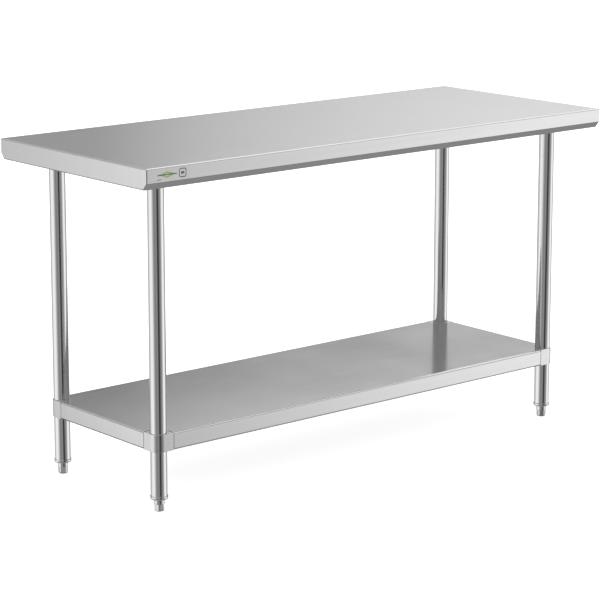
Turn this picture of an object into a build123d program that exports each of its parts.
"""Stainless work table with an undershelf.

A folded steel top lies on hat channels.  Four tube legs stand in sockets under the
channels and end in screw-out bullet feet.  The undershelf slides on the legs and is
clamped to them by a set screw in each of its corner brackets.

Millimetres.  The origin is on the floor under the middle of the table, +X runs along
its length, +Y to its back and +Z up.
"""

from build123d import *

import os

os.makedirs("parts", exist_ok=True)

# ---- Overall size ------------------------------------------------------------------
table_length = 1524.0
table_depth = 609.6
table_height = 863.6
sheet = 1.2  # 18-gauge sheet of the top, the shelf and the channels

# ---- Legs --------------------------------------------------------------------------
leg_diameter = 41.3
leg_wall = 1.5
leg_radius = leg_diameter / 2
leg_x = 662.0  # leg centres, from the middle of the table
leg_y = 204.8
LEGS = {
    "front_left": (-1, -1),
    "front_right": (1, -1),
    "back_left": (-1, 1),
    "back_right": (1, 1),
}

# ---- Folded top --------------------------------------------------------------------
face_drop = 36.0  # upright part of the front and back edges
rim_drop = 52.0  # whole depth of the edge, and of the end flanges
return_in = 12.0  # how far the lower part leans inwards
rim_lip = 10.0  # flat safety lip round the underside
corner_radius = 3.2  # bends and ground corner welds
face_bend = 5.0
rim_bend = 4.0
rim_z = table_height - rim_drop
top_underside = table_height - sheet

# ---- Hat channels under the top ----------------------------------------------------
channel_depth = 25.0
channel_flange = 25.0
channel_bend = 2.5
cross_web = 80.0
long_web = 75.0
cross_length = 578.0
channel_gap = 1.5  # between the long channel's ends and the cross channels
web_underside = top_underside - channel_depth

# ---- Weld studs and nuts that hold the channels ------------------------------------
stud_radius = 3.0
stud_length = 14.0
stud_hole_radius = 3.3
nut_height = 5.0
nut_flats = 10.0
cross_stud_y = 150.0
long_stud_x = 500.0

# ---- Leg sockets -------------------------------------------------------------------
socket_plate = 78.0
socket_plate_thickness = 2.5
socket_wall = 3.0
socket_clearance = 0.3
socket_height = 37.0
socket_flare = 4.0
socket_plate_corner = 6.0
socket_top = web_underside
socket_screw_z = 814.0

# ---- Set screws --------------------------------------------------------------------
screw_radius = 3.95
screw_length = 16.0
screw_hole_radius = 4.0
screw_key_flats = 4.0
screw_key_depth = 5.0
screw_chamfer = 0.6
boss_radius = 7.5
boss_length = 11.0

# ---- Leg ends and feet -------------------------------------------------------------
foot_height = 31.0
plug_flange_radius = 22.2
plug_flange_height = 8.0
plug_flange_round = 3.0  # lower edge
plug_rim_round = 1.0  # upper edge
plug_cup_radius = leg_radius - leg_wall - 0.05
plug_cup_wall = 3.1
plug_cup_height = 22.0
plug_floor = 10.0
thread_radius = 6.0
thread_clearance = 0.1
thread_nut_flats = 19.0
thread_nut_height = 10.0
thread_length = 72.0
thread_seat = 8.0  # height of the thread's lower end above the floor
thread_chamfer = 1.0
seat_clearance = 0.05
foot_collar_radius = 13.4
foot_collar_height = 12.5
foot_collar_round = 0.5  # lower edge
foot_collar_top_round = 1.0
foot_body_radius = 12.7
foot_sole_radius = 9.2
foot_sole_shoulder = (11.7, 1.2)  # radius and height that the sole's rounding passes
foot_sole_rise = 4.0
foot_flats = 23.6
foot_turn = -7.0  # where the wrench flats have come to rest, in degrees
foot_gap = 0.3  # between a fully screwed-in foot and its plug
leg_bottom = foot_height + plug_flange_height

# ---- Undershelf --------------------------------------------------------------------
bracket_wall = 2.5
shelf_top = 195.9
shelf_rim = 44.0
shelf_bend = 4.5
shelf_lip = 12.0
shelf_length = 2 * (leg_x + leg_radius + bracket_wall)
shelf_depth = 2 * (leg_y + leg_radius + bracket_wall)
shelf_bottom = shelf_top - shelf_rim
seam_reach = 29.9  # from a leg's centre to the cut end of the rim
seam_gap = 1.5
notch_radius = 24.4
shelf_channel_web = 60.0
shelf_channel_depth = 22.0
shelf_channel_flange = 20.0
shelf_channel_length = 1180.0

# ---- Corner brackets of the shelf --------------------------------------------------
bracket_bore = leg_radius + 0.3
bracket_outer = leg_radius + bracket_wall
bracket_web = 2.5
bracket_web_drop = 0.5  # below the shelf's surface
tab_length = 25.0
tab_thickness = 2.0
tab_margin = 4.0
bracket_screw_z = 173.0

# ---- Front label -------------------------------------------------------------------
label_length = 118.0
label_height = 29.0
label_thickness = 0.15
label_from_end = 7.0
label_corner = 2.0
label_z = table_height - face_drop / 2 - 0.5

match = 0.01  # how near a selector's measure has to be


def leg_centre(name, z=0.0):
    """Return the point on a leg's axis at height z."""
    side_x, side_y = LEGS[name]
    return Vector(side_x * leg_x, side_y * leg_y, z)


def inward(name):
    """Return the level direction from a leg towards the middle, on its diagonal."""
    side_x, side_y = LEGS[name]
    return Vector(-side_x, -side_y, 0).normalized()


def top_envelope(inset):
    """Return the closed outline of the folded top, shrunk by inset on every side."""
    half_depth = table_depth / 2 - inset
    upper = table_height - inset
    middle = table_height - face_drop
    lower = rim_z + inset
    foot_y = half_depth - return_in
    with BuildPart() as envelope:
        with BuildSketch(Plane.YZ) as section:
            with BuildLine():
                Polyline(
                    (-half_depth, upper),
                    (-half_depth, middle),
                    (-foot_y, lower),
                    (foot_y, lower),
                    (half_depth, middle),
                    (half_depth, upper),
                    close=True,
                )
            make_face()
            levels = section.vertices().group_by(Axis.Y)
            fillet(levels[0], rim_bend - inset)
            middles = section.vertices().filter_by(lambda v: abs(v.Y - middle) < match)
            fillet(middles, face_bend - inset)
            uppers = section.vertices().filter_by(lambda v: abs(v.Y - upper) < match)
            fillet(uppers, corner_radius - inset)
        extrude(amount=table_length / 2 - inset, both=True)
        ends = envelope.faces().filter_by(Axis.X)
        fillet(ends.edges(), corner_radius - inset)
    return envelope.part


def hat_section(plane, web, depth, flange, top):
    """Return a hat channel's section with its two flanges up against height top."""
    middle = sheet / 2
    half_web = (web - sheet) / 2
    half_width = web / 2 + flange
    with BuildSketch(plane) as section:
        with BuildLine():
            FilletPolyline(
                (-half_width, top - middle),
                (-half_web, top - middle),
                (-half_web, top - depth + middle),
                (half_web, top - depth + middle),
                (half_web, top - middle),
                (half_width, top - middle),
                radius=channel_bend,
            )
        trace(line_width=sheet)
    return section.sketch


def screw_boss(name, z, wall_radius):
    """Add a boss for a set screw to the ring round a leg, and bore it through."""
    out = inward(name)
    start = leg_centre(name, z) + out * wall_radius
    with BuildSketch(Plane(origin=start, z_dir=out)) as boss:
        Circle(boss_radius)
    extrude(boss.sketch, amount=boss_length)
    bore_start = leg_centre(name, z) + out * (leg_radius / 2)
    with BuildSketch(Plane(origin=bore_start, z_dir=out)) as bore:
        Circle(screw_hole_radius)
    extrude(bore.sketch, amount=2 * leg_radius, mode=Mode.SUBTRACT)


def set_screw(name, z, tip_radius):
    """Make one socket set screw that points at a leg from the inside."""
    out = inward(name)
    tip = leg_centre(name, z) + out * tip_radius
    with BuildPart() as screw:
        with BuildSketch(Plane(origin=tip, z_dir=out)):
            Circle(screw_radius)
        extrude(amount=screw_length)
        chamfer(screw.edges().filter_by(GeomType.CIRCLE), screw_chamfer)
        head = tip + out * screw_length
        with BuildSketch(Plane(origin=head, z_dir=out)):
            RegularPolygon(screw_key_flats / 2, 6, major_radius=False)
        extrude(amount=-screw_key_depth, mode=Mode.SUBTRACT)
    return screw.part


def write(part, node):
    """Label a finished piece and write it as the node's STEP file."""
    part.label = node
    export_step(part, "parts/" + node + ".step")


# ---- Top ---------------------------------------------------------------------------
outer_envelope = top_envelope(0.0)
inner_envelope = top_envelope(sheet)
mouth_length = table_length - 2 * (sheet + rim_lip)
mouth_depth = table_depth - 2 * (return_in + rim_lip)

with BuildPart() as table_top:
    add(outer_envelope)
    add(inner_envelope, mode=Mode.SUBTRACT)
    with BuildSketch(Plane.XY.offset(rim_z)):
        Rectangle(mouth_length, mouth_depth)
    extrude(amount=rim_drop / 2, mode=Mode.SUBTRACT)
write(table_top.part, "table_top")

# ---- Channels under the top --------------------------------------------------------
cross_stud_dx = (cross_web + channel_flange) / 2
long_stud_dy = (long_web + channel_flange) / 2
long_half = leg_x - cross_web / 2 - channel_flange - channel_gap
cross_studs = [
    (side * leg_x + across * cross_stud_dx, along * cross_stud_y)
    for side in (-1, 1)
    for across in (-1, 1)
    for along in (-1, 1)
]
long_studs = [
    (along * long_stud_x, across * long_stud_dy)
    for along in (-1, 0, 1)
    for across in (-1, 1)
]
all_studs = cross_studs + long_studs

for side, word in ((-1, "left"), (1, "right")):
    with BuildPart() as cross_channel:
        hat_plane = Plane(origin=(side * leg_x, 0, 0), x_dir=(1, 0, 0), z_dir=(0, -1, 0))
        cross_hat = hat_section(hat_plane, cross_web, channel_depth, channel_flange, top_underside)
        extrude(cross_hat, amount=cross_length / 2, both=True)
        with BuildSketch(Plane.XY.offset(top_underside)):
            with Locations(*cross_studs):
                Circle(stud_hole_radius)
        extrude(amount=-2 * sheet, mode=Mode.SUBTRACT)
    write(cross_channel.part, "top_cross_channel_" + word)

with BuildPart() as long_channel:
    long_hat = hat_section(Plane.YZ, long_web, channel_depth, channel_flange, top_underside)
    extrude(long_hat, amount=long_half, both=True)
    with BuildSketch(Plane.XY.offset(top_underside)):
        with Locations(*long_studs):
            Circle(stud_hole_radius)
    extrude(amount=-2 * sheet, mode=Mode.SUBTRACT)
write(long_channel.part, "top_long_channel")

with BuildPart() as weld_studs:
    with BuildSketch(Plane.XY.offset(top_underside)):
        with Locations(*all_studs):
            Circle(stud_radius)
    extrude(amount=-stud_length)
write(weld_studs.part, "channel_weld_studs")

with BuildPart() as channel_nuts:
    with BuildSketch(Plane.XY.offset(top_underside - sheet)):
        with Locations(*all_studs):
            RegularPolygon(nut_flats / 2, 6, major_radius=False)
            Circle(stud_radius + seat_clearance, mode=Mode.SUBTRACT)
    extrude(amount=-nut_height)
write(channel_nuts.part, "channel_nuts")

# ---- Legs with their sockets, plugs and feet ---------------------------------------
socket_bore = leg_radius + socket_clearance
socket_outer = socket_bore + socket_wall
leg_top = socket_top - socket_plate_thickness

for name, (side_x, side_y) in LEGS.items():
    centre = (side_x * leg_x, side_y * leg_y)

    with BuildPart() as socket:
        with BuildSketch(Plane.XY.offset(socket_top)):
            with Locations(centre):
                RectangleRounded(socket_plate, socket_plate, socket_plate_corner)
        extrude(amount=-socket_plate_thickness)
        with BuildSketch(Plane.XY.offset(leg_top)):
            with Locations(centre):
                Circle(socket_outer)
        extrude(amount=socket_plate_thickness - socket_height)
        rings = socket.edges().filter_by(GeomType.CIRCLE)
        roots = rings.filter_by_position(Axis.Z, leg_top - match, leg_top + match)
        fillet(roots.filter_by(lambda e: abs(e.radius - socket_outer) < match), socket_flare)
        screw_boss(name, socket_screw_z, leg_radius)
        with BuildSketch(Plane.XY.offset(leg_top)):
            with Locations(centre):
                Circle(socket_bore)
        extrude(amount=-socket_height, mode=Mode.SUBTRACT)
    write(socket.part, "leg_socket_" + name)

    with BuildPart() as leg:
        with BuildSketch(Plane.XY.offset(leg_bottom)):
            with Locations(centre):
                Circle(leg_radius)
                Circle(leg_radius - leg_wall, mode=Mode.SUBTRACT)
        extrude(amount=leg_top - leg_bottom)
    write(leg.part, "leg_" + name)

    with BuildPart() as plug:
        with BuildSketch(Plane.XY.offset(foot_height)):
            with Locations(centre):
                Circle(plug_flange_radius)
        extrude(amount=plug_flange_height)
        fillet(plug.edges().sort_by(Axis.Z)[0], plug_flange_round)
        fillet(plug.edges().sort_by(Axis.Z)[-1], plug_rim_round)
        with BuildSketch(Plane.XY.offset(foot_height)):
            with Locations(centre):
                Circle(plug_cup_radius - plug_cup_wall)
        extrude(amount=plug_floor)
        with BuildSketch(Plane.XY.offset(leg_bottom)):
            with Locations(centre):
                Circle(plug_cup_radius)
                Circle(plug_cup_radius - plug_cup_wall, mode=Mode.SUBTRACT)
        extrude(amount=plug_cup_height)
        with BuildSketch(Plane.XY.offset(foot_height)):
            with Locations(centre):
                Circle(thread_radius + thread_clearance)
        extrude(amount=plug_floor, mode=Mode.SUBTRACT)
    write(plug.part, "leg_end_plug_" + name)

    foot_top = foot_height - foot_gap
    collar_z = foot_top - foot_collar_height
    with BuildPart() as foot:
        with BuildSketch(Plane(origin=(*centre, 0), x_dir=(1, 0, 0), z_dir=(0, -1, 0))):
            with BuildLine():
                Line((0, 0), (foot_sole_radius, 0))
                ThreePointArc(
                    (foot_sole_radius, 0), foot_sole_shoulder, (foot_body_radius, foot_sole_rise)
                )
                Polyline(
                    (foot_body_radius, foot_sole_rise), (foot_body_radius, collar_z), (0, collar_z), (0, 0)
                )
            make_face()
        revolve(axis=Axis((*centre, 0), (0, 0, 1)))
        quarter_turn = 0 if side_x == side_y else 90
        with BuildSketch(Plane.XY):
            with Locations(centre):
                RegularPolygon(foot_flats / 2, 6, major_radius=False, rotation=foot_turn + quarter_turn)
        extrude(amount=collar_z, mode=Mode.INTERSECT)
        with BuildSketch(Plane.XY.offset(collar_z)):
            with Locations(centre):
                Circle(foot_collar_radius)
        extrude(amount=foot_collar_height)
        collar_rings = foot.edges().filter_by(GeomType.CIRCLE)
        collar_rings = collar_rings.filter_by(lambda e: abs(e.radius - foot_collar_radius) < match)
        fillet(collar_rings.sort_by(Axis.Z)[0], foot_collar_round)
        fillet(collar_rings.sort_by(Axis.Z)[-1], foot_collar_top_round)
        with BuildSketch(Plane.XY.offset(foot_top)):
            with Locations(centre):
                Circle(thread_radius + seat_clearance)
        extrude(amount=thread_seat - foot_top, mode=Mode.SUBTRACT)
    write(foot.part, "foot_" + name)

    with BuildPart() as thread:
        with BuildSketch(Plane.XY.offset(thread_seat)):
            with Locations(centre):
                Circle(thread_radius)
        extrude(amount=thread_length)
        chamfer(thread.edges().filter_by(GeomType.CIRCLE), thread_chamfer)
    write(thread.part, "foot_thread_" + name)

with BuildPart() as plug_nuts:
    with BuildSketch(Plane.XY.offset(foot_height + plug_floor)):
        with GridLocations(2 * leg_x, 2 * leg_y, 2, 2):
            RegularPolygon(thread_nut_flats / 2, 6, major_radius=False)
            Circle(thread_radius + thread_clearance, mode=Mode.SUBTRACT)
    extrude(amount=thread_nut_height)
write(plug_nuts.part, "leg_plug_nuts")

socket_screw_tip = leg_radius + seat_clearance
socket_screws = Compound(children=[set_screw(name, socket_screw_z, socket_screw_tip) for name in LEGS])
write(socket_screws, "socket_set_screws")

# ---- Undershelf --------------------------------------------------------------------
notch_run = leg_diameter + seam_reach
notch_shift = (leg_diameter - seam_reach) / 2

with BuildPart() as shelf_cavity:
    with BuildSketch(Plane.XY.offset(shelf_bottom + sheet)):
        Rectangle(shelf_length - 2 * sheet, shelf_depth - 2 * sheet)
    extrude(amount=shelf_rim - 2 * sheet)
    shelf_levels = shelf_cavity.edges().filter_by(Plane.XY).group_by(Axis.Z)
    fillet(shelf_levels[0] + shelf_levels[-1], shelf_bend - sheet)

with BuildPart() as shelf_panel:
    with BuildSketch(Plane.XY.offset(shelf_bottom)):
        Rectangle(shelf_length, shelf_depth)
    extrude(amount=shelf_rim)
    panel_levels = shelf_panel.edges().filter_by(Plane.XY).group_by(Axis.Z)
    fillet(panel_levels[0] + panel_levels[-1], shelf_bend)
    add(shelf_cavity.part, mode=Mode.SUBTRACT)
    with BuildSketch(Plane.XY.offset(shelf_bottom)):
        Rectangle(shelf_length - 2 * (sheet + shelf_lip), shelf_depth - 2 * (sheet + shelf_lip))
    extrude(amount=shelf_rim / 2, mode=Mode.SUBTRACT)
    with BuildSketch(Plane.XY.offset(shelf_bottom)):
        for side_x, side_y in LEGS.values():
            with Locations((side_x * leg_x, side_y * leg_y)):
                Circle(notch_radius)
            with Locations((side_x * (leg_x + notch_shift), side_y * (leg_y + leg_radius))):
                Rectangle(notch_run, leg_diameter)
            with Locations((side_x * (leg_x + leg_radius), side_y * (leg_y + notch_shift))):
                Rectangle(leg_diameter, notch_run)
    extrude(amount=shelf_rim, mode=Mode.SUBTRACT)
write(shelf_panel.part, "shelf_panel")

with BuildPart() as shelf_channel:
    shelf_hat = hat_section(
        Plane.YZ, shelf_channel_web, shelf_channel_depth, shelf_channel_flange, shelf_top - sheet
    )
    extrude(shelf_hat, amount=shelf_channel_length / 2, both=True)
write(shelf_channel.part, "shelf_channel")

wing = seam_reach - seam_gap
tab_height = shelf_rim - 2 * (sheet + tab_margin)
tab_outer = bracket_outer - sheet
tab_z = shelf_bottom + (shelf_rim - tab_height) / 2
tab_start = wing - 2 * tab_thickness
tab_mid = (tab_start + wing + tab_length) / 2
tab_run = wing + tab_length - tab_start
tab_line = tab_outer - tab_thickness / 2
wing_line = bracket_outer - bracket_wall / 2

for name, (side_x, side_y) in LEGS.items():
    centre_x = side_x * leg_x
    centre_y = side_y * leg_y
    with BuildPart() as bracket:
        with BuildSketch(Plane.XY.offset(shelf_bottom)):
            with Locations((centre_x, centre_y)):
                Circle(bracket_outer)
            with Locations((centre_x - side_x * wing / 2, centre_y + side_y * wing_line)):
                Rectangle(wing, bracket_wall)
            with Locations((centre_x + side_x * wing_line, centre_y - side_y * wing / 2)):
                Rectangle(bracket_wall, wing)
        extrude(amount=shelf_rim)
        with BuildSketch(Plane.XY.offset(shelf_top - bracket_web_drop)):
            with Locations((centre_x - side_x * wing / 2, centre_y + side_y * bracket_outer / 2)):
                Rectangle(wing, bracket_outer)
            with Locations((centre_x + side_x * bracket_outer / 2, centre_y - side_y * wing / 2)):
                Rectangle(bracket_outer, wing)
        extrude(amount=-bracket_web)
        with BuildSketch(Plane.XY.offset(tab_z)):
            with Locations((centre_x - side_x * tab_mid, centre_y + side_y * tab_line)):
                Rectangle(tab_run, tab_thickness)
            with Locations((centre_x + side_x * tab_line, centre_y - side_y * tab_mid)):
                Rectangle(tab_thickness, tab_run)
        extrude(amount=tab_height)
        screw_boss(name, bracket_screw_z, leg_radius)
        with BuildSketch(Plane.XY.offset(shelf_bottom)):
            with Locations((centre_x, centre_y)):
                Circle(bracket_bore)
        extrude(amount=shelf_rim, mode=Mode.SUBTRACT)
    write(bracket.part, "shelf_bracket_" + name)

shelf_screws = Compound(children=[set_screw(name, bracket_screw_z, bracket_bore) for name in LEGS])
write(shelf_screws, "shelf_set_screws")

# ---- Label on the front edge -------------------------------------------------------
label_x = -table_length / 2 + label_from_end + label_length / 2
with BuildPart() as front_label:
    label_spot = (label_x, -table_depth / 2, label_z)
    with BuildSketch(Plane(origin=label_spot, x_dir=(1, 0, 0), z_dir=(0, -1, 0))):
        RectangleRounded(label_length, label_height, label_corner)
    extrude(amount=label_thickness)
write(front_label.part, "front_label")
